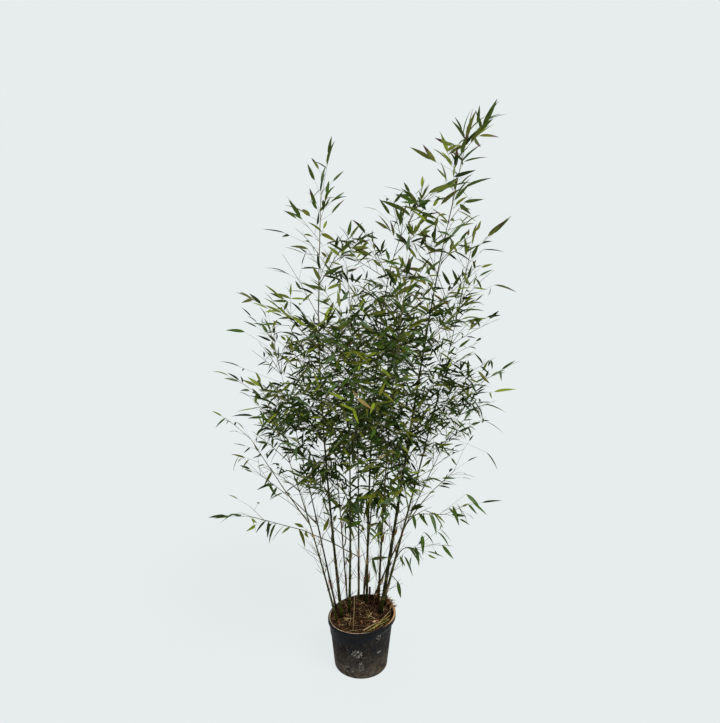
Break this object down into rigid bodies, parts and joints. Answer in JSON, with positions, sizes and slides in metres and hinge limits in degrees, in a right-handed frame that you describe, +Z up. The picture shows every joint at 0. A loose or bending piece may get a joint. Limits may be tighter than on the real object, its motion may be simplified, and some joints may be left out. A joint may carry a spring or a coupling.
{
  "type": "potted bamboo",
  "caption": "Tall clump of leafy bamboo canes in a round tapered nursery pot filled with soil, standing on the pot's flat underside.",
  "frame": {"origin": "centre of the pot's flat underside", "axes": "+Z up along the canes; -Y towards the side of the plant that the picture shows"},
  "size_m": [1.2385, 1.0855, 2.1838],
  "materials": {
    "pot": "matte",
    "soil": "matte",
    "cane": "satin",
    "bough": "satin",
    "foliage": "matte"
  },
  "bodies": {
    "root": {"bough_low_left": "bough", "bough_low_right": "bough", "bough_middle_left": "bough", "bough_middle_right": "bough", "bough_rear_right": "bough", "bough_upper_left": "bough", "cane_arching": "cane", "cane_back": "cane", "cane_back_left": "cane", "cane_back_right": "cane", "cane_far_left": "cane", "cane_far_right": "cane", "cane_front": "cane", "cane_front_left": "cane", "cane_front_right": "cane", "cane_left_spire": "cane", "cane_right_second": "cane", "cane_right_spire": "cane", "foliage_arching": "foliage", "foliage_back": "foliage", "foliage_back_left": "foliage", "foliage_back_right": "foliage", "foliage_far_left": "foliage", "foliage_far_right": "foliage", "foliage_front": "foliage", "foliage_front_left": "foliage", "foliage_front_right": "foliage", "foliage_high_1": "foliage", "foliage_high_2": "foliage", "foliage_high_3": "foliage", "foliage_left_spire": "foliage", "foliage_low_1": "foliage", "foliage_low_2": "foliage", "foliage_low_3": "foliage", "foliage_low_4": "foliage", "foliage_low_left": "foliage", "foliage_low_right": "foliage", "foliage_lowest_1": "foliage", "foliage_lowest_2": "foliage", "foliage_lowest_3": "foliage", "foliage_middle_1": "foliage", "foliage_middle_2": "foliage", "foliage_middle_3": "foliage", "foliage_middle_4": "foliage", "foliage_middle_left": "foliage", "foliage_middle_right": "foliage", "foliage_reaching_1": "foliage", "foliage_reaching_2": "foliage", "foliage_rear_right": "foliage", "foliage_right_second": "foliage", "foliage_right_spire": "foliage", "foliage_top_1": "foliage", "foliage_top_2": "foliage", "foliage_top_3": "foliage", "foliage_upper_left": "foliage", "foliage_wide_1": "foliage", "foliage_wide_2": "foliage", "foliage_wide_3": "foliage", "pot": "pot", "soil": "soil"}
  },
  "joints": []
}
